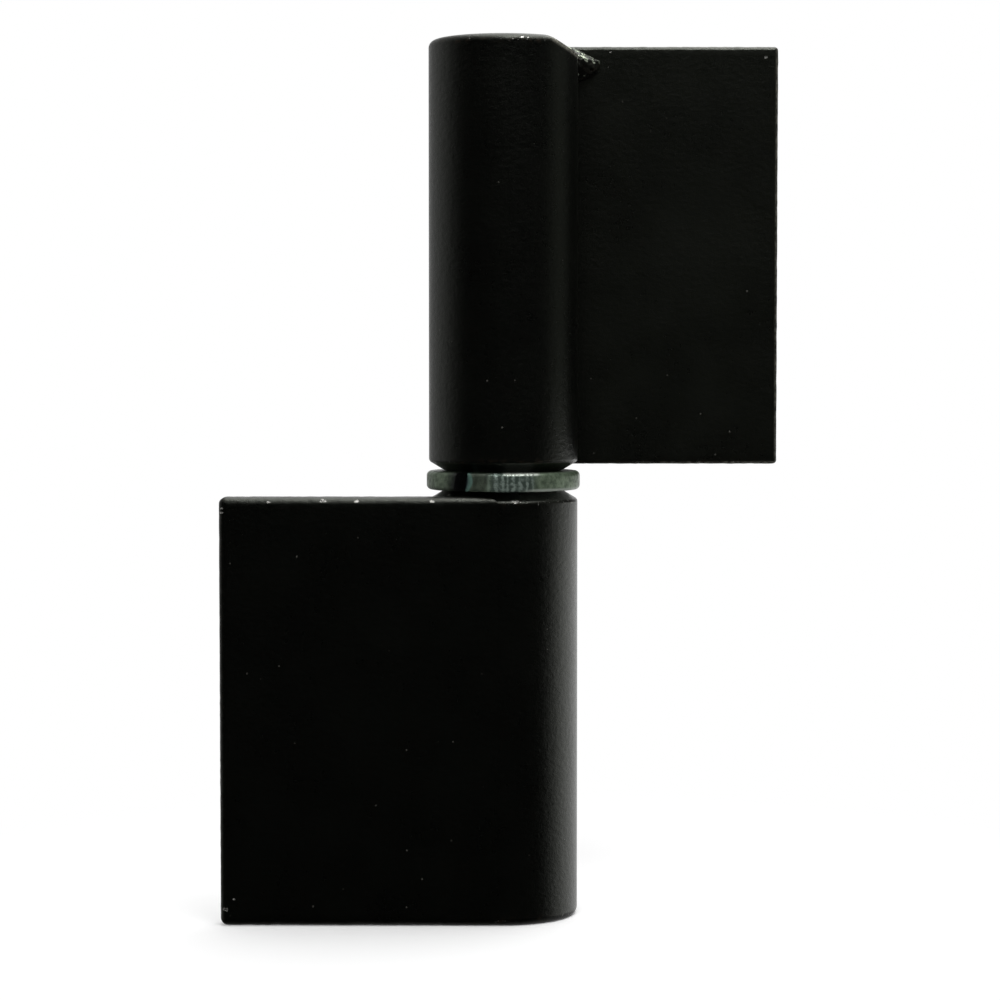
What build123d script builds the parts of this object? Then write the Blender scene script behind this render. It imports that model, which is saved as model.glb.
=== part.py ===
from build123d import *
from math import cos, radians, sin, sqrt, tan
import os

# Weld-on lift-off gate hinge: two flag halves turn on one pin, with a split spring washer between them.
# The pin stands along Z, the lower half rests on Z = 0, and the front of the hinge faces -Y.

# Pin and its fit in the upper barrel
pin_diameter = 20.0
pin_running_clearance = 0.1
pin_foot_chamfer = 1.0
pin_nose_length = 4.0
pin_nose_step = 1.5

# Barrels, turned from round bar
barrel_length = 92.0
barrel_wall = 6.0
closed_end = 20.0
drill_point_angle = 118.0
bore_end_space = 6.0
bore_mouth_chamfer = 0.5
mating_land = 1.9
mating_bevel_height = 2.1
far_edge_chamfer = 1.1

# Leaves, cut from flat bar
leaf_reach = 60.0
leaf_thickness = 6.0
leaf_setback = 1.0
leaf_corner_radius = 1.8
leaf_edge_radius = 1.6

# Split spring washer, coiled from flat wire and pressed level
washer_bore_clearance = 0.5
washer_section_width = 6.0
washer_section_height = 4.0
washer_edge_chamfer = 0.8
washer_gap = 1.9
washer_gap_turn = 35.0
washer_cut_slant = 9.0
washer_tip_radius = 2.2

# Seam weld that fills the notch between leaf and barrel, ground level with both
seam_toe_height = 0.05

# Corner weld: a round bead in the groove at the far end, its middle sunk in the leaf, its top ground off
corner_weld_radius = 5.4
corner_weld_sink = 2.4
corner_weld_offset = 4.0
corner_weld_depth = 3.2
corner_weld_facet_offset = 3.5
corner_weld_facet_fall = 26.0
corner_weld_facet_lean = 25.0

# Facet on the upper barrel's end, where the weld was dressed with a grinder
dressing_width = 5.5
dressing_angle = 29.5
dressing_turn = 5.0

# Sizes that follow from the ones above
pin_radius = pin_diameter / 2
barrel_radius = pin_radius + barrel_wall
bore_radius = pin_radius + pin_running_clearance
mating_radius = bore_radius + bore_mouth_chamfer + mating_land
washer_inner_radius = pin_radius + washer_bore_clearance
washer_outer_radius = washer_inner_radius + washer_section_width
hinge_height = 2 * barrel_length + washer_section_height
leaf_length = barrel_length - leaf_setback
leaf_inner_face = barrel_radius - leaf_thickness
leaf_root = sqrt(barrel_radius**2 - leaf_inner_face**2)

# Each half is drawn from its far end: local X points out along the leaf, local Y to the leaf's flush face
lower_plan = Plane(origin=(0, 0, 0), x_dir=(-1, 0, 0), z_dir=(0, 0, 1))
upper_plan = Plane(origin=(0, 0, hinge_height), x_dir=(1, 0, 0), z_dir=(0, 0, 1))
upwards = 1
downwards = -1

# Half-sections have local X out from the pin's axis and local Y from a barrel's far end to its mating end
lower_section = Plane(origin=(0, 0, 0), x_dir=(1, 0, 0), z_dir=(0, -1, 0))
upper_section = Plane(origin=(0, 0, hinge_height), x_dir=(1, 0, 0), z_dir=(0, 1, 0))


def bore_floor(radius):
    """Distance from a barrel's far end to where the drill's cone starts at the end of its bore."""
    return closed_end + radius / tan(radians(drill_point_angle / 2))


def barrel_half_section(plane, radius):
    """Half-section of a barrel that is closed at its far end, with a blind bore of this radius."""
    with BuildSketch(plane) as half_section:
        with BuildLine():
            Polyline(
                (0, 0),
                (barrel_radius, 0),
                (barrel_radius, barrel_length - mating_bevel_height),
                (mating_radius, barrel_length),
                (radius + bore_mouth_chamfer, barrel_length),
                (radius, barrel_length - bore_mouth_chamfer),
                (radius, bore_floor(radius)),
                (0, closed_end),
                close=True,
            )
        make_face()
        far_corner = half_section.vertices().group_by(Axis.X)[-1].sort_by(Axis.Y)[0]
        chamfer(far_corner, far_edge_chamfer)
    return half_section.sketch


def make_leaf(plan, towards_mating_end):
    """Flat leaf with a square root edge that touches the barrel, and rounded edges elsewhere."""
    outward = Axis(plan.origin, plan.x_dir)
    with BuildPart() as leaf:
        with BuildSketch(plan):
            with Locations((leaf_root, leaf_inner_face)):
                Rectangle(leaf_reach - leaf_root, leaf_thickness, align=Align.MIN)
        extrude(amount=towards_mating_end * leaf_length)
        fillet(leaf.edges().filter_by(Axis.Y).group_by(outward)[-1], leaf_corner_radius)
        root_edges = leaf.faces().sort_by(outward)[0].edges()
        fillet(leaf.faces().filter_by(Axis.Y).edges() - root_edges, leaf_edge_radius)
    return leaf.part


def make_seam_weld(plan, towards_mating_end, barrel):
    """Weld between the leaf's root edge and the barrel, ground level with the leaf's flush face."""
    toe_face = barrel_radius - seam_toe_height
    toe = sqrt(barrel_radius**2 - toe_face**2)
    with BuildPart() as weld:
        with BuildSketch(plan):
            with BuildLine():
                Polyline(
                    (toe, toe_face),
                    (toe, barrel_radius),
                    (leaf_root, barrel_radius),
                    (leaf_root, leaf_inner_face),
                    close=True,
                )
            make_face()
        extrude(amount=towards_mating_end * leaf_length)
        flush_face = weld.faces().sort_by(Axis(plan.origin, plan.y_dir))[-1]
        fillet(flush_face.edges().filter_by(Axis.X), leaf_edge_radius)
        add(barrel, mode=Mode.SUBTRACT)
    return weld.part


def make_corner_weld(plan, towards_mating_end, barrel):
    """Round bead in the groove at the far end, with a ground facet that falls away outwards and forwards."""
    outward, flush, far_end = plan.x_dir, plan.y_dir, plan.z_dir * -towards_mating_end
    groove = plan.origin + outward * leaf_root + flush * leaf_inner_face
    bead_middle = (
        groove + outward * corner_weld_offset + flush * corner_weld_sink - far_end * corner_weld_depth
    )
    facet_normal = (
        far_end
        + outward * tan(radians(corner_weld_facet_fall))
        - flush * tan(radians(corner_weld_facet_lean))
    )
    with BuildPart() as weld:
        with Locations(bead_middle):
            Sphere(corner_weld_radius)
        split(bisect_by=Plane(groove, z_dir=flush), keep=Keep.BOTTOM)
        split(bisect_by=Plane(groove, z_dir=far_end), keep=Keep.BOTTOM)
        facet_edge = groove + outward * corner_weld_facet_offset
        split(bisect_by=Plane(facet_edge, z_dir=facet_normal), keep=Keep.BOTTOM)
        add(barrel, mode=Mode.SUBTRACT)
    return weld.part


with BuildPart() as lower_barrel:
    revolve(barrel_half_section(lower_section, pin_radius), axis=Axis.Z)

with BuildPart() as upper_turning:
    revolve(barrel_half_section(upper_section, bore_radius), axis=Axis.Z)

with BuildPart() as upper_barrel:
    add(upper_turning.part)
    dressed_edge = Plane(origin=(barrel_radius - dressing_width, 0, hinge_height))
    dressed_face = dressed_edge.rotated((0, 0, -dressing_turn)).rotated((0, dressing_angle, 0))
    split(bisect_by=dressed_face, keep=Keep.BOTTOM)

with BuildPart() as hinge_pin:
    pin_foot = bore_floor(pin_radius)
    pin_tip = hinge_height - bore_floor(bore_radius) - bore_end_space
    with BuildSketch(lower_section):
        with BuildLine():
            Polyline(
                (0, pin_foot),
                (pin_radius - pin_foot_chamfer, pin_foot),
                (pin_radius, pin_foot + pin_foot_chamfer),
                (pin_radius, pin_tip - pin_nose_length),
                (pin_radius - pin_nose_step, pin_tip),
                (0, pin_tip),
                close=True,
            )
        make_face()
    revolve(axis=Axis.Z)

with BuildPart() as spring_washer:
    with BuildSketch(lower_section) as wire_section:
        with Locations((washer_inner_radius, barrel_length)):
            Rectangle(washer_section_width, washer_section_height, align=Align.MIN)
        chamfer(wire_section.vertices(), washer_edge_chamfer)
    revolve(axis=Axis.Z)

    # The gap lies to the left of the front; its cut leans over, and one tip is rolled round
    turn = radians(washer_gap_turn)
    mid_height = barrel_length + washer_section_height / 2
    gap_plan = Plane(origin=(0, 0, mid_height), x_dir=(-sin(turn), -cos(turn), 0), z_dir=(0, 0, 1))
    gap_lean = gap_plan.z_dir + gap_plan.y_dir * tan(radians(washer_cut_slant))
    gap_side = washer_gap / 2
    tip_root = washer_outer_radius - washer_tip_radius
    past_the_rim = washer_outer_radius + washer_section_width
    with BuildSketch(gap_plan):
        with BuildLine():
            Polyline(
                (tip_root, gap_side),
                (0, gap_side),
                (0, -gap_side),
                (past_the_rim, -gap_side),
                (past_the_rim, gap_side + washer_tip_radius),
                (washer_outer_radius, gap_side + washer_tip_radius),
            )
            CenterArc((tip_root, gap_side + washer_tip_radius), washer_tip_radius, -90, 90)
        make_face()
    extrude(amount=washer_section_height, dir=gap_lean, both=True, mode=Mode.SUBTRACT)

pieces = {
    "lower_barrel": lower_barrel.part,
    "lower_leaf": make_leaf(lower_plan, upwards),
    "lower_seam_weld": make_seam_weld(lower_plan, upwards, lower_barrel.part),
    "lower_corner_weld": make_corner_weld(lower_plan, upwards, lower_barrel.part),
    "hinge_pin": hinge_pin.part,
    "spring_washer": spring_washer.part,
    "upper_barrel": upper_barrel.part,
    "upper_leaf": make_leaf(upper_plan, downwards),
    "upper_seam_weld": make_seam_weld(upper_plan, downwards, upper_turning.part),
    "upper_corner_weld": make_corner_weld(upper_plan, downwards, upper_barrel.part),
}

os.makedirs("parts", exist_ok=True)
for name, piece in pieces.items():
    piece.label = name
    export_step(piece, f"parts/{name}.step")

pin_engagement = pin_tip - barrel_length - washer_section_height
print("hinge height", hinge_height, "pin in the upper barrel", round(pin_engagement, 2))
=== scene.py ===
# %% [markdown]
# # A weld-on gate hinge
# Two flag-shaped halves of black painted steel turn on one upright pin. The lower half is welded to the
# post, the upper half drops over the pin and carries the gate, and a split spring washer keeps them
# apart. The solids are already packed at their real size, so this lesson starts by loading them as a
# fixed frame. Everything that follows is fitted to that frame, in metres.

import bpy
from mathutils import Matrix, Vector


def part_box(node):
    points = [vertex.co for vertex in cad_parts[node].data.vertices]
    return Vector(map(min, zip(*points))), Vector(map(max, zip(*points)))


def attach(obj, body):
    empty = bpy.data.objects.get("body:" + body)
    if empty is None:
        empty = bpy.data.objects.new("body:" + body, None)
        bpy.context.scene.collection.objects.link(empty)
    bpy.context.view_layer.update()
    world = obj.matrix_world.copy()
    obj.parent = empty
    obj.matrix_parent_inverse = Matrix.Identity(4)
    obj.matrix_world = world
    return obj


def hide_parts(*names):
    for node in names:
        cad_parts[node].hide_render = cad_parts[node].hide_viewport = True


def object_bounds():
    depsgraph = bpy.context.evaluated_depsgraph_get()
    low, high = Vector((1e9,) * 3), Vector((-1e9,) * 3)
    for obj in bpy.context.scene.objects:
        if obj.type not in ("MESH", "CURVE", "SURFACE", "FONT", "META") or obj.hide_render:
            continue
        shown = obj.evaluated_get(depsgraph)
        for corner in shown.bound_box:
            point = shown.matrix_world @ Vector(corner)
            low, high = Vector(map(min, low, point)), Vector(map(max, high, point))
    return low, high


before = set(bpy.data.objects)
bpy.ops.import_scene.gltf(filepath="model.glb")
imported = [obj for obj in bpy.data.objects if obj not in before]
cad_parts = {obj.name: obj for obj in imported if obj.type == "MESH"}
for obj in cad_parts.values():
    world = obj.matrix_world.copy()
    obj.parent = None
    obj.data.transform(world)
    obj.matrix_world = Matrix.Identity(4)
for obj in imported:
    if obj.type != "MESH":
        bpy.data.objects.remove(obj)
cad_low, cad_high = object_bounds()
print("the frame holds", len(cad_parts), "solids, from", cad_low[:], "to", cad_high[:])

# %% [markdown]
# ## Names for the sizes
# A maker thinks in millimetres, and Blender counts in metres, so one factor turns the first into the
# second. The barrels, leaves and washer have their places read from the frame. Only the small sizes that
# a box can't tell, such as chamfers and bores, are written here.

# %% Sizes
import math

import bmesh
import bpy
from mathutils import Matrix, Vector

MM = 0.001

barrel_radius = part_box("lower_barrel")[1].x
lower_far_end, lower_mating_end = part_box("lower_barrel")[0].z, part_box("lower_barrel")[1].z
upper_mating_end, upper_far_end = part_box("upper_barrel")[0].z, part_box("upper_barrel")[1].z
pin_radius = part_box("hinge_pin")[1].x
pin_running_clearance = 0.1 * MM
upper_bore_radius = pin_radius + pin_running_clearance
mating_radius = 12.5 * MM
mating_bevel_height = 2.1 * MM
bore_mouth_chamfer = 0.5 * MM
far_edge_chamfer = 1.1 * MM
closed_end = 20 * MM
drill_point_angle = math.radians(118)
print("barrel radius", barrel_radius, "pin radius", pin_radius, "height", upper_far_end)

# %% [markdown]
# ## Small tools for modelling by operators
# Operators act on whatever is selected, so each piece starts with nothing selected. In edit mode the
# faces, edges or corners to work on are then picked by a test of where they are or which way they look.

# %% Modelling helpers
sharp_angle = math.radians(40)


def start_clean():
    """Leaves edit mode and deselects everything, so that the next operator meets only its own piece."""
    if bpy.context.object and bpy.context.object.mode != "OBJECT":
        bpy.ops.object.mode_set(mode="OBJECT")
    bpy.ops.object.select_all(action="DESELECT")


def name_piece(name):
    """Names the active object and its mesh, and moves its place and size into the mesh."""
    piece = bpy.context.object
    piece.name = name
    piece.data.name = name
    bpy.ops.object.transform_apply(location=True, rotation=True, scale=True)
    return piece


def pick(kind, test):
    """Selects the corners, edges or faces of the mesh in edit mode that pass the test."""
    bpy.ops.mesh.select_mode(type=kind)
    bpy.ops.mesh.select_all(action="DESELECT")
    mesh = bmesh.from_edit_mesh(bpy.context.object.data)
    parts = {"VERT": mesh.verts, "EDGE": mesh.edges, "FACE": mesh.faces}[kind]
    for part in parts:
        part.select_set(test(part))
    mesh.select_flush_mode()
    bmesh.update_edit_mesh(bpy.context.object.data)


def take_up(piece):
    """Makes a piece the active one and the only one that is selected."""
    start_clean()
    piece.select_set(True)
    bpy.context.view_layer.objects.active = piece


def apply_all(piece):
    """Applies the piece's modifiers in their order."""
    take_up(piece)
    for modifier in list(piece.modifiers):
        bpy.ops.object.modifier_apply(modifier=modifier.name)


def shade_piece(piece):
    """Shades a piece smooth up to a sharp edge, and weights its normals so that flat faces look flat."""
    take_up(piece)
    bpy.ops.object.shade_smooth_by_angle(angle=sharp_angle)
    weighted = piece.modifiers.new("flat faces stay flat", "WEIGHTED_NORMAL")
    weighted.keep_sharp = True
    apply_all(piece)


# %% [markdown]
# ## Arithmetic on sockets
# A finish is mostly arithmetic: masks are added, multiplied and turned round. One small class wraps a
# node's socket, so that Python's own signs add the Math nodes, and one method makes any other node.

# %% The Wire class


class Wire:
    """An output socket in a node tree that Python can calculate with."""

    def __init__(self, tree, socket=None):
        self.tree = tree
        self.socket = socket

    def node(self, kind, settings=None, inputs=None, output=0):
        """Adds a node, makes its settings, fills or links its inputs and gives back one of its outputs."""
        made = self.tree.nodes.new(kind)
        for name, value in (settings or {}).items():
            setattr(made, name, value)
        for name, value in (inputs or {}).items():
            if isinstance(value, Wire):
                self.tree.links.new(value.socket, made.inputs[name])
            else:
                made.inputs[name].default_value = value
        return Wire(self.tree, made.outputs[output])

    def math(self, operation, *values):
        """Adds a Math node that works on values or wires."""
        return self.node("ShaderNodeMath", {"operation": operation}, dict(enumerate(values)))

    def __add__(self, other):
        return self.math("ADD", self, other)

    __radd__ = __add__

    def __sub__(self, other):
        return self.math("SUBTRACT", self, other)

    def __rsub__(self, other):
        return self.math("SUBTRACT", other, self)

    def __mul__(self, other):
        return self.math("MULTIPLY", self, other)

    __rmul__ = __mul__

    def __abs__(self):
        return self.math("ABSOLUTE", self)

    def root(self):
        return self.math("SQRT", self)

    def lesser(self, other):
        return self.math("MINIMUM", self, other)

    def greater(self, other):
        return self.math("MAXIMUM", self, other)

    def fade(self, start, end):
        """0 at start and 1 at end, with a smooth change between them."""
        inputs = {"Value": self, "From Min": start, "From Max": end}
        return self.node("ShaderNodeMapRange", {"interpolation_type": "SMOOTHSTEP"}, inputs)

    def mix(self, low, high):
        """A colour that goes from low to high as this value goes from 0 to 1."""
        settings = {"data_type": "RGBA"}
        return self.node("ShaderNodeMix", settings, {0: self, 6: low, 7: high}, output=2)

    def feed(self, shader, name):
        """Links this value to one of a shader's inputs."""
        self.tree.links.new(self.socket, shader.inputs[name])


# %% [markdown]
# Some nodes come up in every finish: the parts of a vector, noise, a bump. Each gets a short name of its
# own, so that a finish reads like a recipe. All patterns are drawn on each piece's own coordinates, in
# millimetres, so they ride along when a half turns.

# %% Node helpers


def separate(vector):
    """The three parts of a vector as wires."""
    parts = vector.node("ShaderNodeSeparateXYZ", inputs={0: vector})
    return [Wire(vector.tree, parts.socket.node.outputs[axis]) for axis in range(3)]


def new_material(name):
    """An empty node material and its Principled shader."""
    material = bpy.data.materials.new(name)
    material.use_nodes = True
    return material, material.node_tree, material.node_tree.nodes["Principled BSDF"]


def object_millimetres(tree):
    """Object coordinates in millimetres, which here are the hinge's own frame."""
    place = Wire(tree).node("ShaderNodeTexCoord", output="Object")
    return place.node("ShaderNodeVectorMath", {"operation": "SCALE"}, {0: place, "Scale": 1 / MM})


def combine(x, y, z):
    """Three values as one vector."""
    return x.node("ShaderNodeCombineXYZ", inputs={0: x, 1: y, 2: z})


def noise(vector, scale, detail, roughness=0.5):
    """Cloudy noise, mostly between 0.3 and 0.7, that is drawn on a vector."""
    inputs = {"Vector": vector, "Scale": scale, "Detail": detail, "Roughness": roughness}
    return vector.node("ShaderNodeTexNoise", inputs=inputs)


def bump(height, depth):
    """A normal as on a surface of this height, times a depth in metres."""
    inputs = {"Strength": 1.0, "Distance": depth, "Height": height}
    return height.node("ShaderNodeBump", inputs=inputs)


# %% [markdown]
# ## The camera
# The hinge is seen straight from the front, from a little above its middle. The camera stands 60 cm away
# and looks down by just under three degrees, so that the picture needs no lens shift.

# %% Camera
camera_distance = 0.6
camera_height = 0.1195
camera_aim_height = 0.0896
camera_side = -0.7 * MM
camera_lens = 100.2

camera_data = bpy.data.cameras.new("camera")
camera_data.lens = camera_lens
camera = bpy.data.objects.new("camera", camera_data)
bpy.context.scene.collection.objects.link(camera)
camera.location = (camera_side, -camera_distance, camera_height)
aim = Vector((camera_side, 0, camera_aim_height)) - camera.location
camera.rotation_euler = aim.to_track_quat("-Z", "Y").to_euler()
bpy.context.scene.camera = camera
bpy.context.scene.view_settings.view_transform = "Standard"
print("camera looks down by", round(math.degrees(math.atan2(-aim.z, aim.y)), 2), "degrees")

# %% [markdown]
# ## The room and its light
# A black satin thing is drawn by what it reflects. The room is white behind and to the right of the
# hinge, a third as bright to the left and dark in front, as with a black cloth hung behind the camera,
# so the faces stay black and the round sides catch light. The ceiling is white again and the ground dim.
# Walls could be built for that, but a world whose strength changes with the direction does it without
# any. The camera itself still sees plain white.

# %% Room
room_right, room_left, room_front = 1.05, 0.32, 0.006
left_starts, left_ends = 0.3, -0.6
front_starts, front_ends = -0.45, 0.4
cloth_starts, cloth_ends = 0.95, 0.3
ground_starts, ground_ends, ground_share = 0.1, 0.5, 0.2
white = (1, 1, 1, 1)

world = bpy.data.worlds.new("white room")
world.use_nodes = True
bpy.context.scene.world = world
room = Wire(world.node_tree)
towards_right, towards_back, upwards = separate(room.node("ShaderNodeTexCoord", output="Generated"))
leftness = towards_right.fade(left_starts, left_ends)
darkness = (0 - towards_back).fade(front_starts, front_ends) * upwards.fade(cloth_starts, cloth_ends)
ground = (0 - upwards).fade(ground_starts, ground_ends)
walls = (room_right - leftness * (room_right - room_left)) * (1 - ground * (1 - ground_share))
camera_ray = room.node("ShaderNodeLightPath", output="Is Camera Ray")
strength = camera_ray + (1 - camera_ray) * (walls - darkness * (walls - room_front))
background = world.node_tree.nodes["Background"]
background.inputs["Color"].default_value = white
strength.feed(background, "Strength")
print("white room with a dark front")

# %% [markdown]
# Three lamps help the room. A soft one hangs above, a small one high in front draws a thin glint on the
# upper edges, and a wide fill lamp that isn't mirrored brings the plain light on the front up to the
# level of the other sides. All are discs, because a round lamp leaves a soft, round glint.

# %% Lamps


def hang_lamp(name, place, size, power):
    """A round soft lamp that looks at the middle of the hinge."""
    data = bpy.data.lights.new(name, "AREA")
    data.shape = "DISK"
    data.size = size
    data.energy = power
    lamp = bpy.data.objects.new(name, data)
    bpy.context.scene.collection.objects.link(lamp)
    lamp.location = place
    middle = (cad_low + cad_high) / 2
    lamp.rotation_euler = (middle - lamp.location).to_track_quat("-Z", "Y").to_euler()
    lamp.visible_camera = False
    return lamp


hang_lamp("soft lamp above", place=Vector((0.14, 0.1, 0.75)), size=1.0, power=4)
hang_lamp("small lamp in front", place=Vector((0.156, -0.335, 0.79)), size=0.26, power=1.1)
fill_lamp = hang_lamp("fill lamp in front", place=Vector((-0.2, -1.0, 0.5)), size=0.6, power=6)
fill_lamp.visible_glossy = False
print("three lamps, the fill lamp with", fill_lamp.data.energy, "W")

# %% [markdown]
# Beside the upper half stands what photographers call a flag: a black card that is never in the picture
# and only keeps the white of the right-hand wall out of the upper barrel. The lower barrel looks under
# it. A faintly lit strip before the card draws the soft line that runs down the barrel beside the
# groove.

# %% Flag
flag_side = 0.15
flag_front, flag_back = -0.13, 0.3
flag_foot, flag_top = upper_mating_end - 7 * MM, upper_mating_end + 0.25
strip_ahead = 5 * MM
strip_front, strip_back, strip_light = -0.035, 0.05, 0.1
card_black = (0.005, 0.005, 0.005, 1)
card_light = (0.93, 1, 0.85, 1)
matt = 0.9


def stand_card(name, side, front, back, light):
    """An upright card to the right of the upper half, which only mirrored light can see."""
    start_clean()
    middle = (side, (front + back) / 2, (flag_foot + flag_top) / 2)
    bpy.ops.mesh.primitive_plane_add(size=1, location=middle, rotation=(0, math.radians(90), 0))
    bpy.context.object.scale = (flag_top - flag_foot, back - front, 1)
    card = name_piece(name)
    material, _, shader = new_material(name)
    shader.inputs["Base Color"].default_value = card_black
    shader.inputs["Roughness"].default_value = matt
    shader.inputs["Emission Color"].default_value = card_light
    shader.inputs["Emission Strength"].default_value = light
    card.data.materials.append(material)
    card.visible_camera = False
    card.visible_diffuse = False
    card.visible_shadow = False
    print(name, [round(length, 3) for length in card.dimensions])


stand_card("flag", flag_side, flag_front, flag_back, light=0)
stand_card("lit strip", flag_side - strip_ahead, strip_front, strip_back, strip_light)

# %% [markdown]
# The floor is a wide disc of pale card. Close to the hinge it takes light and shadow as any card does,
# and further out it fades into the white of the room, so that no horizon shows.

# %% Floor
floor_radius = 6
floor_sides = 96
floor_colour = (0.93, 0.93, 0.93, 1)
fade_starts, fade_ends = 10, 170


def seen_directly(wire):
    """1 for what the camera sees straight, mirrored or through glass, and 0 for light on its way."""
    path = wire.node("ShaderNodeLightPath").socket.node.outputs
    kinds = ("Is Camera Ray", "Is Glossy Ray", "Is Transmission Ray")
    camera_ray, glossy_ray, transmission_ray = (Wire(wire.tree, path[kind]) for kind in kinds)
    return camera_ray.greater(glossy_ray).greater(transmission_ray)


start_clean()
bpy.ops.mesh.primitive_circle_add(
    vertices=floor_sides, radius=floor_radius, fill_type="NGON", location=(0, 0, 0)
)
floor = name_piece("floor")
floor.visible_glossy = False
floor_material, floor_tree, floor_shader = new_material("pale floor")
floor_shader.inputs["Base Color"].default_value = floor_colour
floor_shader.inputs["Roughness"].default_value = matt
spot = object_millimetres(floor_tree)
distance = spot.node("ShaderNodeVectorMath", {"operation": "LENGTH"}, {0: spot}, output="Value")
whiteness = seen_directly(spot) * distance.fade(fade_starts, fade_ends)
glow = spot.node("ShaderNodeEmission", inputs={"Color": white, "Strength": 1.0})
pale_card = Wire(floor_tree, floor_shader.outputs[0])
blended = spot.node("ShaderNodeMixShader", inputs={0: whiteness, 1: pale_card, 2: glow})
blended.feed(floor_tree.nodes["Material Output"], "Surface")
floor.data.materials.append(floor_material)
print("floor of", round(floor.dimensions.x, 2), "m")

# %% [markdown]
# ## Black paint
# Sprayed satin black over mild steel. It is never quite smooth: the film has a slight orange peel, fine
# grain from dry spray, dust nibs and pinholes. Along the edges it is thin, and there it has chipped to
# bright steel, with a little rust in older chips. A picture of worn paint would stretch round the edges,
# so the finish is worked out from each point's place instead. Each piece hands in its own measure of how
# far a point is from an edge.

# %% Paint
chip_reach = 1.4
dent_squat = 2.2
paint_ior = 1.6
paint_relief = 0.18 * MM
bright_steel = (0.56, 0.55, 0.52, 1)
rust_brown = (0.05, 0.026, 0.012, 1)
dust_grey = (0.09, 0.085, 0.075, 1)
edge_grey = (0.16, 0.155, 0.13, 1)
barrel_tone = (0.0007, 0.0008, 0.0006)
# The upper leaf and its seam get a black three times lighter than the barrels': painted light, for the
# brighter reflection that leaf shows.
upper_painted_sheen_tone = (0.0022, 0.0025, 0.0018)
lower_tone = (0.0006, 0.0007, 0.0005)
sheen_tint = (0.95, 1.0, 0.88, 1)


def shade(tone, factor):
    """A darker or lighter black."""
    return (*(part * factor for part in tone), 1)


def black_paint(
    name, tone, edge_distance, dents=(), dullness=0.26, bare=None, metal=bright_steel, greyed=None
):
    """Satin black paint, worn along the edges; edge_distance turns x, y and z into mm from an edge.

    Dents are places in mm, each with its width, where a knock has taken the paint off. Where bare, which
    also takes x, y and z, is 1, the paint was ground away, and where the grey mask is 1, the paint turns a
    dull grey, which along the dressed edge is rubbed paint and also a painted highlight.
    """
    material, tree, shader = new_material(name)
    place = object_millimetres(tree)
    x, y, z = separate(place)
    rolled = combine(x, y, z * 0.12)
    pebbled = combine(x, y, z * 1.4)
    squat = combine(x, y, z * dent_squat)

    peel = noise(pebbled, 0.7, 3, 0.55)
    grain = noise(place, 5.0, 2)
    lines = noise(rolled, 1.3, 3, 0.6)
    clouds = noise(place, 0.06, 4, 0.6)
    cells = place.node("ShaderNodeTexVoronoi", inputs={"Vector": place, "Scale": 0.3})
    lottery = separate(Wire(tree, cells.socket.node.outputs["Color"]))[0]
    nibs = (cells * 3.3).fade(0.26, 0.1) * lottery.fade(0.5, 0.9)

    near_edge = edge_distance(x, y, z).fade(chip_reach, 0.0)
    ragged = noise(place, 1.6, 3, 0.65)
    wear_and_highlight = noise(place, 0.11, 1).fade(0.35, 0.7)
    chips = (ragged + near_edge * 0.08 + wear_and_highlight * near_edge * 0.1).fade(0.79, 0.83)
    for dent_x, dent_y, dent_z, width in dents:
        inputs = {0: squat, 1: (dent_x, dent_y, dent_z * dent_squat)}
        away = place.node("ShaderNodeVectorMath", {"operation": "DISTANCE"}, inputs, output="Value")
        chips = chips.greater((away + ragged * width * 2.4).fade(width * 2.0, width * 1.5))
    if bare:
        chips = chips.greater(bare(x, y, z))
    rust = noise(place, 0.9, 3).fade(0.5, 0.65) * near_edge * 0.1

    black = clouds.fade(0.3, 0.7).mix(shade(tone, 0.8), shade(tone, 1.25))
    dusty = (nibs * 0.35).mix(black, dust_grey)
    rusty = rust.mix(dusty, rust_brown)
    # A dull grey where that mask says; along the dressed edge it is rubbed paint and also a painted
    # highlight.
    if greyed:
        rusty = greyed(x, y, z).mix(rusty, edge_grey)
    chips.mix(rusty, metal).feed(shader, "Base Color")
    chips.feed(shader, "Metallic")
    gloss = dullness - 0.1 + clouds * 0.1 + peel * 0.1 + lines * 0.08 + rust * 0.3
    gloss.feed(shader, "Roughness")
    height = peel * 0.55 + lines * 0.1 + grain * 0.25 + nibs * 0.3 - chips * 0.4
    bump(height, paint_relief).feed(shader, "Normal")
    shader.inputs["IOR"].default_value = paint_ior
    shader.inputs["Specular Tint"].default_value = sheen_tint
    return material


# %% [markdown]
# A finished piece gets its material, is hung on the body that it moves with, and hides the solid whose
# place it takes. One helper does all of it in the same way for every piece.

# %% Dress a piece


def dress(piece, body, node, material):
    """Gives a finished piece its material and its body, and hides the solid that it stands for."""
    piece.data.materials.clear()
    piece.data.materials.append(material)
    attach(piece, body)
    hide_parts(node)


# %% [markdown]
# ## The barrels
# Each barrel is a piece of round bar that was faced and drilled on a lathe. The same steps work here: a
# cylinder is added at its size, and its mating end is drawn in to a cone, a narrow land and the mouth of
# a blind bore. Extruding a face and scaling it does the work of the lathe's tool.

# %% Turn the barrels
barrel_sides = 160
touching = 0.1 * MM


def draw_end(height, from_radius, to_radius, level):
    """Extrudes the selected end face by a height and scales it to another radius."""
    bpy.ops.mesh.extrude_region_move(TRANSFORM_OT_translate={"value": (0, 0, height)})
    share = to_radius / from_radius
    bpy.ops.transform.resize(value=(share, share, 1), center_override=(0, 0, level))


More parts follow.
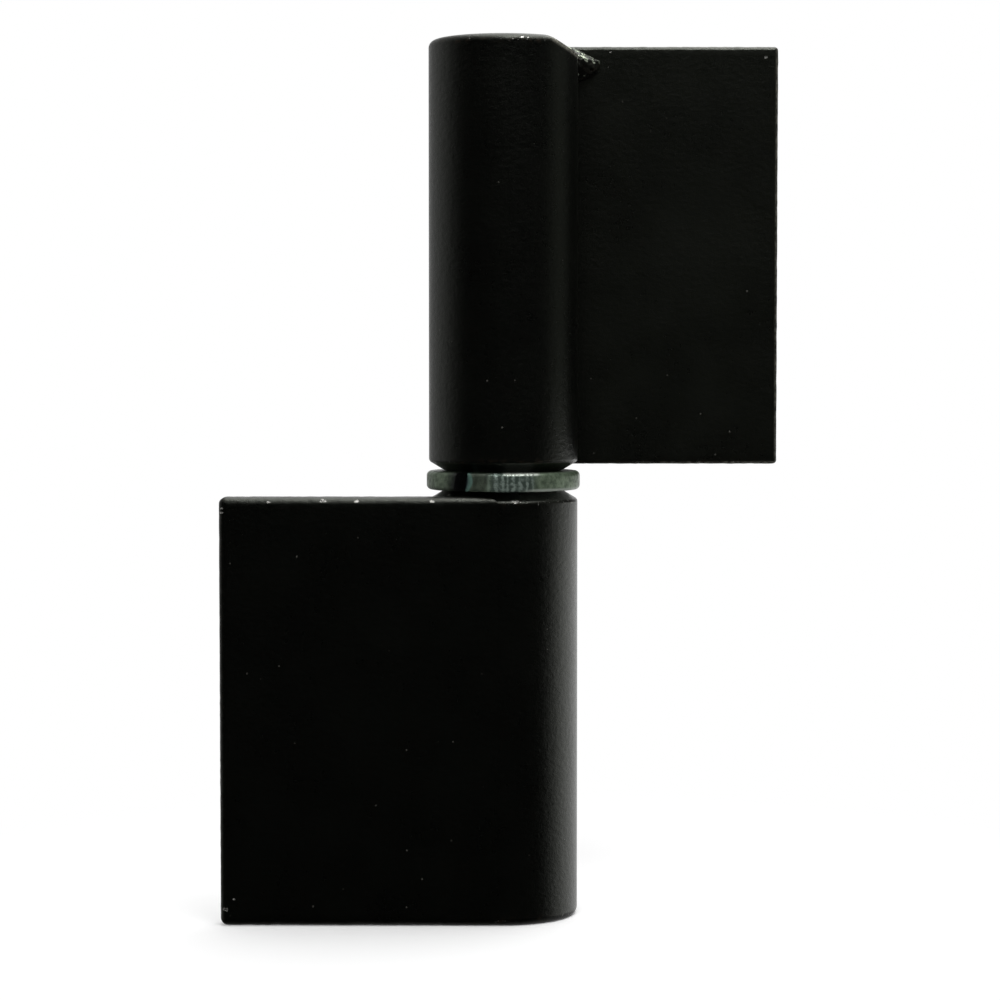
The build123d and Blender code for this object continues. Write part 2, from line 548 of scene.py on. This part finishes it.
def turn_barrel(name, far_end, mating_end, bore_radius):
    """A barrel with a plain far end, a bevelled mating end and a blind bore with a drill's cone."""
    towards = math.copysign(1, mating_end - far_end)
    shoulder = mating_end - towards * mating_bevel_height
    start_clean()
    bpy.ops.mesh.primitive_cylinder_add(
        vertices=barrel_sides,
        radius=barrel_radius,
        depth=abs(shoulder - far_end),
        location=(0, 0, (far_end + shoulder) / 2),
    )
    piece = name_piece(name)
    bpy.ops.object.mode_set(mode="EDIT")
    pick("FACE", lambda face: abs(face.calc_center_median().z - shoulder) < touching)
    mouth_radius = bore_radius + bore_mouth_chamfer
    drill_depth = abs(mating_end - far_end) - closed_end - bore_mouth_chamfer
    drill_cone = bore_radius / math.tan(drill_point_angle / 2)
    draw_end(towards * mating_bevel_height, barrel_radius, mating_radius, mating_end)
    draw_end(0, mating_radius, mouth_radius, mating_end)
    draw_end(-towards * bore_mouth_chamfer, mouth_radius, bore_radius, mating_end)
    draw_end(-towards * (drill_depth - drill_cone), bore_radius, bore_radius, mating_end)
    draw_end(-towards * drill_cone, bore_radius, bore_radius, mating_end)
    bpy.ops.mesh.merge(type="CENTER")
    bpy.ops.object.mode_set(mode="OBJECT")
    return piece


lower_barrel = turn_barrel("lower_barrel_turned", lower_far_end, lower_mating_end, pin_radius)
upper_barrel = turn_barrel("upper_barrel_turned", upper_far_end, upper_mating_end, upper_bore_radius)
print("lower barrel", len(lower_barrel.data.polygons), "faces, upper", len(upper_barrel.data.polygons))

# %% [markdown]
# A lathe leaves no knife edges: the far rim is rounded, and the edges of the mating cone are just
# broken. That also gives the paint something to glint on.

# %% Round the rims
far_edge_radius, far_edge_steps, far_edge_turn = 1.6 * MM, 7, math.radians(40)
mating_edge_radius, mating_edge_steps, mating_edge_turn = 0.5 * MM, 4, math.radians(20)


def round_edges(piece, radius, steps, least_turn, where):
    """Rounds the edges that turn by more than an angle and whose ends are all where the test says."""

    def sharp(edge):
        turned = len(edge.link_faces) == 2 and edge.calc_face_angle(0) > least_turn
        return turned and all(where(vertex.co) for vertex in edge.verts)

    take_up(piece)
    bpy.ops.object.mode_set(mode="EDIT")
    pick("EDGE", sharp)
    bpy.ops.mesh.bevel(offset=radius, segments=steps, affect="EDGES", clamp_overlap=False)
    bpy.ops.object.mode_set(mode="OBJECT")


for barrel, far_end in ((lower_barrel, lower_far_end), (upper_barrel, upper_far_end)):
    round_edges(
        barrel,
        far_edge_radius,
        far_edge_steps,
        far_edge_turn,
        lambda place: abs(place.z - far_end) < touching,
    )
    round_edges(
        barrel,
        mating_edge_radius,
        mating_edge_steps,
        mating_edge_turn,
        lambda place: place.xy.length > mating_radius - touching,
    )
    print(barrel.name, "has", len(barrel.data.polygons), "faces")

# %% [markdown]
# The upper barrel's end was dressed with a grinder where the corner weld ran over it. The wheel rolled
# over the edge, so a few strokes, each tilted a little more, take the sliver off. The wheel is a cube
# with its bottom in the stroke's plane, and a Boolean takes away what it covers.

# %% Dress the upper barrel
dressing_width = 5.5 * MM
dressing_angle = math.radians(29.5)
dressing_turn = math.radians(5)
dressing_roll = 6 * MM
dressing_strokes = 5
wheel_size = 50 * MM


def grind(piece, point, away):
    """Takes off what lies beyond a plane, given by a point in it and the direction that points away."""
    start_clean()
    tilted = away.to_track_quat("Z", "X").to_euler()
    middle = point + away * wheel_size / 2
    bpy.ops.mesh.primitive_cube_add(size=wheel_size, location=middle, rotation=tilted)
    wheel = name_piece("grinding wheel")
    stroke = piece.modifiers.new("stroke", "BOOLEAN")
    stroke.operation = "DIFFERENCE"
    stroke.solver = "EXACT"
    stroke.object = wheel
    apply_all(piece)
    bpy.data.objects.remove(wheel)


turn = Matrix.Rotation(-dressing_turn, 3, "Z")
dressing_start = Vector((barrel_radius - dressing_width, 0, upper_far_end))
roll_middle = dressing_start - turn @ Vector((math.tan(dressing_angle / 2), 0, 1)) * dressing_roll
for stroke in range(1, dressing_strokes + 1):
    tilt = dressing_angle * stroke / dressing_strokes
    away = turn @ Vector((math.sin(tilt), 0, math.cos(tilt)))
    grind(upper_barrel, roll_middle + away * dressing_roll, away)
dressed_normal = away
for barrel in (lower_barrel, upper_barrel):
    shade_piece(barrel)
print("upper barrel after dressing", len(upper_barrel.data.polygons), "faces")

# %% [markdown]
# Paint wears where a barrel has a rim: round its far chamfer and its mating bevel. Each rim is a circle,
# so the distance of a point to it follows from the point's radius and height.

# %% Measure to the rims


def barrel_rims(far_end, mating_end):
    """Measures how far a point is from the nearest rim of a barrel, in mm."""
    towards = math.copysign(1, mating_end - far_end)
    rims = [
        (barrel_radius, far_end + towards * far_edge_chamfer),
        (barrel_radius - far_edge_chamfer, far_end),
        (barrel_radius, mating_end - towards * mating_bevel_height),
        (mating_radius, mating_end),
    ]

    def measure(x, y, z):
        radius = (x * x + y * y).root()
        nearest = None
        for rim_radius, rim_height in rims:
            out, along = radius - rim_radius / MM, z - rim_height / MM
            gap = out * out + along * along
            nearest = gap if nearest is None else nearest.lesser(gap)
        return nearest.root()

    return measure


lower_rims = barrel_rims(lower_far_end, lower_mating_end)
upper_rims = barrel_rims(upper_far_end, upper_mating_end)
print("paint chips within", chip_reach, "mm of a rim")

# %% [markdown]
# The grinder's facet has one more edge, where it breaks out of the barrel's round side. There the paint
# isn't chipped but rubbed to a dull grey, and that grey is also a painted highlight, for the light that a
# rounded edge would catch. Noise makes the grey come and go along the edge.

# %% Rubbed and lit dressed edge


def patches(x, y, z):
    """Uneven patches that make the grey along an edge come and go."""
    return noise(combine(x, y, z), 1.1, 4, 0.6).fade(0.35, 0.65)


def dressed_edge(point, away):
    """Finds the dull grey along the edge of a ground facet on a barrel: rubbed paint and a painted
    highlight.
    """
    point = point / MM

    def greyed(x, y, z):
        beyond = (x - point.x) * away.x + (y - point.y) * away.y + (z - point.z) * away.z
        inside = (x * x + y * y).root() - barrel_radius / MM
        distance = (beyond * beyond + inside * inside).root()
        return distance.fade(1.0, 0.2) * (0.35 + patches(x, y, z) * 0.65)

    return greyed


# The dressed edge's grey band: rubbed paint, and a painted highlight for the light the edge catches.
rubbed_and_lit_edge = dressed_edge(dressing_start, dressed_normal)
print("rubbed along a facet that looks to", [round(part, 3) for part in dressed_normal])

# %% [markdown]
# With these measures the barrels can be painted. The few knocks that the eye finds first are listed, each
# as a place and a width in millimetres, and the noise makes their outlines ragged.

# %% Paint the barrels
lower_barrel_dents = ((2.6, -15.9, 90.1, 1.3), (5.5, -15.2, 90.2, 0.6), (-12.0, -8.0, 91.2, 0.9))
upper_barrel_dents = ((4.0, -15.4, 187.1, 0.55), (5.2, -15.0, 187.1, 0.35))
lower_barrel_paint = black_paint("black paint, lower barrel", lower_tone, lower_rims, lower_barrel_dents)
upper_barrel_paint = black_paint(
    "black paint, upper barrel", barrel_tone, upper_rims, upper_barrel_dents, greyed=rubbed_and_lit_edge
)
dress(lower_barrel, "lower_half", "lower_barrel", lower_barrel_paint)
dress(upper_barrel, "upper_half", "upper_barrel", upper_barrel_paint)
print("painted", lower_barrel.name, "and", upper_barrel.name)

# %% [markdown]
# ## The leaves
# A leaf is a length of flat bar. It starts as a cube of the leaf's box, and all its edges are rounded
# except the four of the root, which the weld covers. Sheared bar is never quite straight, so the plate
# is divided and its rims are pushed in, here more and there less, by a tenth of a millimetre or so.

# %% Cut the leaves
lower_leaf_edge, upper_leaf_edge = 1.6 * MM, 0.9 * MM
leaf_edge_steps = 6
leaf_long_edge = 20 * MM
leaf_cuts = 72
leaf_waviness = 0.16 * MM
leaf_wave_length = 1.3 * MM
leaf_wave_level = 0.9
hairbreadth = 0.01 * MM


def cut_leaf(name, node, outward, edge_radius):
    """A flat leaf with rounded edges, square where it meets the barrel."""
    low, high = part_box(node)
    root = low.x if outward > 0 else high.x

    def at_root(vertex):
        return abs(vertex.co.x - root) < hairbreadth

    start_clean()
    bpy.ops.mesh.primitive_cube_add(size=1, location=(low + high) / 2, scale=high - low)
    piece = name_piece(name)
    bpy.ops.object.mode_set(mode="EDIT")
    pick("EDGE", lambda edge: not all(at_root(vertex) for vertex in edge.verts))
    bpy.ops.mesh.bevel(offset=edge_radius, segments=leaf_edge_steps, affect="EDGES")
    pick("EDGE", lambda edge: edge.calc_length() > leaf_long_edge)
    bpy.ops.mesh.subdivide(number_cuts=leaf_cuts)
    bpy.ops.object.mode_set(mode="OBJECT")

    rim = piece.vertex_groups.new(name="rim")
    faces_y = (low.y, high.y)
    for vertex in piece.data.vertices:
        on_face = min(abs(vertex.co.y - face) for face in faces_y) < hairbreadth
        if not on_face and not at_root(vertex):
            rim.add([vertex.index], 1.0, "REPLACE")
    waves = bpy.data.textures.new(name + " waves", "CLOUDS")
    waves.noise_scale = leaf_wave_length
    shear = piece.modifiers.new("sheared edge", "DISPLACE")
    shear.texture = waves
    shear.vertex_group = rim.name
    shear.strength = leaf_waviness
    shear.mid_level = leaf_wave_level
    apply_all(piece)
    shade_piece(piece)
    return piece


lower_leaf = cut_leaf("lower_leaf_plate", "lower_leaf", -1, lower_leaf_edge)
upper_leaf = cut_leaf("upper_leaf_plate", "upper_leaf", 1, upper_leaf_edge)
print("leaves", len(lower_leaf.data.polygons), "and", len(upper_leaf.data.polygons), "faces")

# %% [markdown]
# On a plate, a point near an edge is close to two of the box's sides at once. The root isn't such a
# side, so only the outer end, the two faces and the two ends are measured, and the second smallest
# distance counts.

# %% Measure to the plates' edges


def plate_edges(node, outward):
    """Measures how far a point is from the nearest free edge of a leaf or of its ground seam, in mm."""
    low, high = (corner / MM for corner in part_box(node))

    def measure(x, y, z):
        outer = high.x - x if outward > 0 else x - low.x
        through = (y - low.y).lesser(high.y - y)
        along = (z - low.z).lesser(high.z - z)
        small, large = outer.lesser(through), outer.greater(through)
        return small.greater(large.lesser(along))

    return measure


lower_edges = plate_edges("lower_leaf", -1)
upper_edges = plate_edges("upper_leaf", 1)
print("paint chips within", chip_reach, "mm of a leaf's free edge")

# %% [markdown]
# The lower leaf has knocks along its upper edge and at its corners. The upper leaf has fewer, but its
# front edge is painted a lighter grey, more so towards the outer corner.

# %% Paint the leaves


def greyed_leaf_edge(x, y, z):
    """Finds where the upper leaf's front edge is painted a lighter grey, more so towards its outer corner.
    """
    near = upper_edges(x, y, z).fade(0.8, 0.1) * y.fade(13, 11)
    return near * x.fade(20, 50) * patches(x, y, z) * 0.6


lower_leaf_dents = (
    (-49.4, -15.8, 90.0, 0.7),
    (-37.8, -15.7, 90.2, 1.1),
    (-30.9, -15.7, 90.1, 0.9),
    (-14.8, -15.7, 90.1, 0.9),
    (-59.2, -15.6, 88.6, 0.6),
    (-59.3, -15.6, 87.7, 0.6),
    (-58.8, -15.8, 3.6, 0.9),
    (-57.0, -16.0, 5.8, 0.5),
)
upper_leaf_dents = ((57.2, 10.2, 185.6, 0.7), (23.3, 10.4, 186.7, 0.7), (31.0, 10.5, 186.8, 0.5))
lower_leaf_paint = black_paint("black paint, lower leaf", lower_tone, lower_edges, lower_leaf_dents)
upper_leaf_paint = black_paint(
    "black paint, upper leaf", upper_painted_sheen_tone, upper_edges, upper_leaf_dents, greyed=greyed_leaf_edge
)
dress(lower_leaf, "lower_half", "lower_leaf", lower_leaf_paint)
dress(upper_leaf, "upper_half", "upper_leaf", upper_leaf_paint)
print("painted", lower_leaf.name, "and", upper_leaf.name)

# %% [markdown]
# ## The ground seams
# The seam weld fills the notch between leaf and barrel and was ground level with both. Its solid already
# has that form, so it stays as it is and only gets the paint of the leaf beside it.

# %% Paint the seams
for node, edges, tone in (
    ("lower_seam_weld", lower_edges, lower_tone),
    ("upper_seam_weld", upper_edges, upper_painted_sheen_tone),
):
    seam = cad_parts[node]
    seam.data.materials.clear()
    seam.data.materials.append(black_paint("black paint, " + node.replace("_", " "), tone, edges))
    print("painted", node)

# %% [markdown]
# ## The corner welds
# Where the groove between leaf and barrel ends, a short run of weld was laid and then dressed with a
# grinder. Weld metal freezes in lumps and pores. It could be sculpted, but noise gives the same lumps on
# each run: a ball is pushed out of round by noise, cut off by the leaf, by the hinge's end and by the
# grinder, remeshed so that it has even faces, and roughened once more.

# %% Lay the corner welds
weld_radius = 5.4 * MM
weld_divisions = 5
weld_offset = 4.0 * MM
weld_sink = 2.4 * MM
weld_depth = 3.2 * MM
weld_facet_offset = 3.5 * MM
weld_facet_fall = math.tan(math.radians(26))
weld_facet_lean = math.tan(math.radians(25))
weld_facet_drop = 0.7 * MM
weld_overlap = 0.5 * MM
weld_end_gap = 0.2 * MM
weld_voxel = 0.16 * MM
lump_length, lump_height, lump_level = 3.2 * MM, 1.1 * MM, 0.55
rough_length, rough_height = 0.9 * MM, 0.35 * MM
pore_length, pore_depth, pore_level = 1.6 * MM, 0.8 * MM, 1.0
pore_floor, pore_rim = 0.1, 0.28


def add_displace(piece, label, kind, scale, strength, middle=0.5):
    """Adds a Displace modifier with a texture of its own, and gives back the texture."""
    texture = bpy.data.textures.new(piece.name + " " + label, kind)
    texture.noise_scale = scale
    modifier = piece.modifiers.new(label, "DISPLACE")
    modifier.texture = texture
    modifier.strength = strength
    modifier.mid_level = middle
    return texture


def lay_weld(name, leaf_node, outward, flush, far_end):
    """A lumpy, porous bead in the groove's far end, with a ground facet that falls away."""
    outward, flush, far_end = Vector((outward, 0, 0)), Vector((0, flush, 0)), Vector((0, 0, far_end))
    low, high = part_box(leaf_node)
    root_x = low.x if outward.x > 0 else high.x
    face_y = low.y if flush.y > 0 else high.y
    end_z = upper_far_end if far_end.z > 0 else lower_far_end
    groove = Vector((root_x, face_y, end_z))
    middle = groove + outward * weld_offset + flush * weld_sink - far_end * weld_depth
    start_clean()
    bpy.ops.mesh.primitive_ico_sphere_add(subdivisions=weld_divisions, radius=weld_radius, location=middle)
    piece = name_piece(name)
    add_displace(piece, "lumps", "CLOUDS", lump_length, lump_height, lump_level)
    apply_all(piece)
    bpy.ops.object.mode_set(mode="EDIT")
    facet_point = groove + outward * weld_facet_offset - far_end * weld_facet_drop
    facet_normal = far_end + outward * weld_facet_fall - flush * weld_facet_lean
    inside_leaf = groove + flush * weld_overlap
    below_end = groove - far_end * weld_end_gap
    for point, normal in ((inside_leaf, flush), (below_end, far_end), (facet_point, facet_normal)):
        bpy.ops.mesh.select_all(action="SELECT")
        bpy.ops.mesh.bisect(plane_co=point, plane_no=normal, use_fill=True, clear_outer=True)
    bpy.ops.object.mode_set(mode="OBJECT")
    remesh = piece.modifiers.new("even faces", "REMESH")
    remesh.mode = "VOXEL"
    remesh.voxel_size = weld_voxel
    add_displace(piece, "rough", "CLOUDS", rough_length, rough_height)
    pores = add_displace(piece, "pores", "VORONOI", pore_length, pore_depth, pore_level)
    pores.use_color_ramp = True
    pores.color_ramp.elements[0].position = pore_floor
    pores.color_ramp.elements[1].position = pore_rim
    apply_all(piece)
    bpy.ops.object.shade_smooth()
    return piece, (facet_point, facet_normal)


upper_weld, upper_facet = lay_weld("upper_corner_bead", "upper_leaf", 1, 1, 1)
lower_weld, lower_facet = lay_weld("lower_corner_bead", "lower_leaf", -1, -1, -1)
print("corner welds", len(upper_weld.data.polygons), "and", len(lower_weld.data.polygons), "faces")

# %% [markdown]
# The grinder went through the paint on the bead's facet and left slanting strokes of bare, greenish weld
# metal. A point is on the facet when it lies in the grinder's plane, and noise that is stretched along
# the stroke decides which stroke is bright.

# %% Paint the corner welds
weld_metal = (0.48, 0.53, 0.42, 1)
weld_dullness = 0.36


def always_worn(x, y, z):
    """Every point of a weld is as worn as a point near an edge."""
    return x * 0 + 0.5


def ground_facet(facet_point, facet_normal):
    """Finds the bare strokes in the ground facet of a corner weld."""
    point, normal = facet_point / MM, facet_normal.normalized()

    def bare(x, y, z):
        height = (x - point.x) * normal.x + (y - point.y) * normal.y + (z - point.z) * normal.z
        strokes = noise(combine(x * 0.3, y * 1.3, z + x * 0.5), 1.1, 3)
        return height.fade(-0.7, -0.25) * strokes.fade(0.52, 0.59)

    return bare


upper_weld_dents = ((16.2, 8.0, 181.6, 0.5), (17.7, 8.3, 181.4, 0.45), (16.9, 9.0, 180.4, 0.35))
for weld, body, tone, plane, dents in (
    (upper_weld, "upper_half", barrel_tone, upper_facet, upper_weld_dents),
    (lower_weld, "lower_half", lower_tone, lower_facet, ()),
):
    node = body.replace("half", "corner_weld")
    label = "black paint, " + node.replace("_", " ")
    strokes = ground_facet(*plane)
    paint = black_paint(label, tone, always_worn, dents, weld_dullness, bare=strokes, metal=weld_metal)
    dress(weld, body, node, paint)
    print("painted", weld.name)

# %% [markdown]
# ## The spring washer
# A length of flat wire is coiled once and pressed level, so the ring has a gap with slanted ends. A
# torus has a round section, so the wire's own section is drawn, a small plane with rounded corners, spun
# once round the pin and joined to itself.

# %% Coil the washer
washer_low, washer_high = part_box("spring_washer")
washer_radius = max(washer_high.x, washer_high.y)
washer_height = washer_high.z - washer_low.z
washer_middle = (washer_low.z + washer_high.z) / 2
washer_width = 6 * MM
washer_edge = 1.0 * MM
washer_edge_steps = 5
washer_steps = 240
merge_reach = 0.002 * MM

start_clean()
wire_middle = (washer_radius - washer_width / 2, 0, washer_middle)
bpy.ops.mesh.primitive_plane_add(size=1, location=wire_middle, rotation=(math.radians(90), 0, 0))
bpy.context.object.scale = (washer_width, washer_height, 1)
washer = name_piece("spring_washer_coil")
bpy.ops.object.mode_set(mode="EDIT")
bpy.ops.mesh.select_all(action="SELECT")
bpy.ops.mesh.bevel(offset=washer_edge, segments=washer_edge_steps, affect="VERTICES")
bpy.ops.mesh.select_all(action="SELECT")
bpy.ops.mesh.delete(type="ONLY_FACE")
bpy.ops.mesh.select_all(action="SELECT")
bpy.ops.mesh.spin(steps=washer_steps, angle=math.tau, center=(0, 0, 0), axis=(0, 0, 1))
bpy.ops.mesh.select_all(action="SELECT")
bpy.ops.mesh.remove_doubles(threshold=merge_reach)
bpy.ops.mesh.normals_make_consistent(inside=False)
bpy.ops.object.mode_set(mode="OBJECT")
print("washer ring", len(washer.data.polygons), "faces,", washer.dimensions[:])

# %% [markdown]
# The gap is cut out of the ring by a cutter that leans over by nine degrees. Its outline is an L whose
# inner corner is rounded, because one tip of the wire was rolled round when it was sheared. The cutter
# is drawn flat, pulled up along the lean, turned to its place and taken away with a Boolean.

# %% Cut the gap
washer_gap = 1.9 * MM
washer_gap_turn = math.radians(35)
washer_cut_slant = math.radians(9)
washer_tip_radius = 2.2 * MM
washer_tip_steps = 10
at_the_rim, past_the_rim = 0.9 * washer_radius, 1.1 * washer_radius
straight = math.radians(1)


def beside_the_tip(edge):
    """Tells whether an edge runs along the side of the gap where the tip is rolled, outside the rim."""
    on_tip_side = all(vertex.co.y > 0 for vertex in edge.verts)
    return on_tip_side and max(vertex.co.x for vertex in edge.verts) > past_the_rim


start_clean()
bpy.ops.mesh.primitive_plane_add(size=1, location=(washer_radius / 2, 0, 0))
bpy.context.object.scale = (washer_radius, washer_gap, 1)
cutter = name_piece("gap cutter")
bpy.ops.object.mode_set(mode="EDIT")
pick("EDGE", lambda edge: all(vertex.co.x > at_the_rim for vertex in edge.verts))
bpy.ops.mesh.extrude_region_move(TRANSFORM_OT_translate={"value": (washer_width, 0, 0)})
pick("EDGE", beside_the_tip)
bpy.ops.mesh.extrude_region_move(TRANSFORM_OT_translate={"value": (0, 2 * washer_tip_radius, 0)})
bpy.ops.mesh.select_all(action="SELECT")
bpy.ops.mesh.dissolve_limited(angle_limit=straight)
tip_corner = Vector((washer_radius, washer_gap / 2))
pick("VERT", lambda vertex: (vertex.co.xy - tip_corner).length < hairbreadth)
bpy.ops.mesh.bevel(offset=washer_tip_radius, segments=washer_tip_steps, affect="VERTICES")
lean = Vector((0, math.tan(washer_cut_slant), 1)) * washer_height
bpy.ops.mesh.select_all(action="SELECT")
bpy.ops.transform.translate(value=Vector((0, 0, washer_middle)) - lean)
bpy.ops.mesh.extrude_region_move(TRANSFORM_OT_translate={"value": lean * 2})
bpy.ops.mesh.select_all(action="SELECT")
bpy.ops.mesh.normals_make_consistent(inside=False)
bpy.ops.object.mode_set(mode="OBJECT")
cutter.rotation_euler.z = -math.pi / 2 - washer_gap_turn
bpy.ops.object.transform_apply(rotation=True)

gap = washer.modifiers.new("gap", "BOOLEAN")
gap.operation = "DIFFERENCE"
gap.solver = "EXACT"
gap.object = cutter
apply_all(washer)
bpy.data.objects.remove(cutter)
shade_piece(washer)
print("washer with its gap", len(washer.data.polygons), "faces")

# %% [markdown]
# Zinc plating on a washer straight from the barrel plating drum is a dull grey-green metal. The wire's
# drawing dies and the drum leave short upright streaks round the rim, so the pattern is drawn on the
# length along the rim and hardly changes with the height. The hollows of the streaks are painted darker
# and their ridges lighter, as painted shade and light, and the dull patches of the plating are rougher.
# More light is painted too: highlight lines along the top and bottom edges, shade on the ends beside the
# gap, and a rolled tip that goes from painted shadow to a teal highlight.

# %% Zinc plate
zinc_bright = (0.15, 0.195, 0.135, 1)
zinc_dull = (0.07, 0.097, 0.064, 1)
# These colours paint light and shade: lit ridges, shaded hollows, edge highlights, the tip and the gap's
# shade.
zinc_ridge_light = (0.2, 0.25, 0.22, 1)
zinc_hollow_shade = (0.05, 0.07, 0.058, 1)
zinc_highlight = (0.4, 0.44, 0.39, 1)
tip_shadow = (0.003, 0.006, 0.012, 1)
tip_highlight_teal = (0.055, 0.1, 0.083, 1)
gap_shade_black = (0.004, 0.004, 0.0045, 1)
tick_pitch = 1.35
tick_patches = 3
ticks_middle = 1.9 - math.pi / 2 * washer_radius / MM
washer_relief = 0.1 * MM


def zinc_plate(name):
    """Grey-green zinc plating with patches of ticks and a rolled tip, with painted light and shade.

    The ticks' hollows are painted in shade and their ridges in light. The edges get painted highlights, the
    ends beside the gap get painted shade, and the tip goes from painted shadow to a teal highlight.
    """
    material, tree, shader = new_material(name)
    place = object_millimetres(tree)
    x, y, z = separate(place)
    along = y.math("ARCTAN2", y, x) * (washer_radius / MM)
    spread = combine(along, 0.0, z * 0.1)

    mottle = noise(place, 1.1, 4)
    grain = noise(place, 6.0, 2)
    dull = (mottle * 0.7 + grain * 0.3).fade(0.62, 0.36)
    from_middle = along - ticks_middle
    areas = y.math("COSINE", from_middle * (tick_patches * MM / washer_radius)).fade(0.45, 0.8)
    wave = y.math("SINE", along * (math.tau / tick_pitch) + noise(spread, 0.35, 1) * 9)
    ticks = (wave * 0.25 + noise(place, 1.2, 3) * 2.0 - 0.5).fade(0.25, 1.0)
    above, below = washer_high.z / MM - z, z - washer_low.z / MM
    # Lighter lines along the bottom edge and along the top edge by the ticks: painted highlights for the
    # edges' glint.
    highlight_below = below.fade(0.8, 0.3) * from_middle.fade(1.0, 7.0)
    highlight_above = above.fade(0.75, 0.35) * abs(from_middle - 2.2).fade(4.6, 3.2)
    edge_highlight = highlight_below.greater(highlight_above)

    out = 0 - x * math.sin(washer_gap_turn) - y * math.cos(washer_gap_turn)
    at_gap = out.fade(0.0, 10.0)
    rise = z - washer_middle / MM
    sideways = x * math.cos(washer_gap_turn) - y * math.sin(washer_gap_turn)
    across = sideways - rise * math.tan(washer_cut_slant)
    gap_side = washer_gap / MM / 2
    # Darker on the end before the gap and behind the rolled tip: painted shade, where the gap shadows the
    # wire.
    before_gap = across.fade(-6.0, -0.6) * across.fade(gap_side, 0.0)
    behind_tip = across.fade(gap_side - 0.2, gap_side) * across.fade(7.2, 6.0) * 0.75
    gap_shade = before_gap.greater(behind_tip) * at_gap
    # The rolled tip is painted from shadow at its root to a teal highlight on its round: painted shade and
    # light.
    aside = (across - gap_side) * 0.42
    round_tip = (aside * aside + rise * rise * 0.2).root()
    tip = round_tip.fade(1.1, 0.96) * across.fade(0.0, gap_side) * at_gap
    tip_colour = round_tip.fade(0.3, 0.95).mix(tip_shadow, tip_highlight_teal)

    plate = dull.mix(zinc_bright, zinc_dull)
    # The streaks' hollows are painted darker and their ridges lighter, in step with their bump: painted
    # shade and light.
    ticked = areas.mix(plate, ticks.mix(zinc_hollow_shade, zinc_ridge_light))
    wear_and_highlight = edge_highlight.mix(ticked, zinc_highlight)
    gap_shaded = gap_shade.mix(wear_and_highlight, gap_shade_black)
    tip.mix(gap_shaded, tip_colour).feed(shader, "Base Color")
    metal = 0.6 - tip.greater(gap_shade) * 0.4
    metal.feed(shader, "Metallic")
    gloss = 0.24 + dull * 0.12 + grain * 0.08
    gloss.feed(shader, "Roughness")
    height = ticks * areas + mottle + grain * 0.2
    bump(height, washer_relief).feed(shader, "Normal")
    return material


dress(washer, "washer", "spring_washer", zinc_plate("zinc plate"))
print("plated", washer.name)

# %% [markdown]
# ## The pin
# The pin is bright drawn bar, pressed into the lower barrel. It only shows when the gate is lifted off.
# Its solid already has the turned form and needs no new mesh, only the look of the steel: drawing leaves
# fine lines along it, turning rubs rings into it, and a film of old grease darkens it in patches.

# %% Pin steel
steel_bright = (0.5, 0.49, 0.47, 1)
steel_greased = (0.12, 0.105, 0.085, 1)
steel_metallic = 0.85
pin_relief = 0.01 * MM


def pin_steel(name):
    """Drawn steel with rubbed rings and patches of grease."""
    material, tree, shader = new_material(name)
    place = object_millimetres(tree)
    x, y, z = separate(place)
    around = y.math("ARCTAN2", y, x) * (pin_radius / MM)
    drawn = combine(around, 0.0, z * 0.03)
    ringed = combine(around * 0.03, 0.0, z)

    lines = noise(drawn, 4.0, 2)
    rings = noise(ringed, 2.2, 3)
    grease = noise(place, 0.12, 4).fade(0.45, 0.65)
    grease.mix(steel_bright, steel_greased).feed(shader, "Base Color")
    shader.inputs["Metallic"].default_value = steel_metallic
    gloss = 0.24 + rings * 0.15 + grease * 0.2
    gloss.feed(shader, "Roughness")
    bump(lines + rings, pin_relief).feed(shader, "Normal")
    return material


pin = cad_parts["hinge_pin"]
pin.data.materials.clear()
pin.data.materials.append(pin_steel("pin steel"))
print("polished", pin.name)
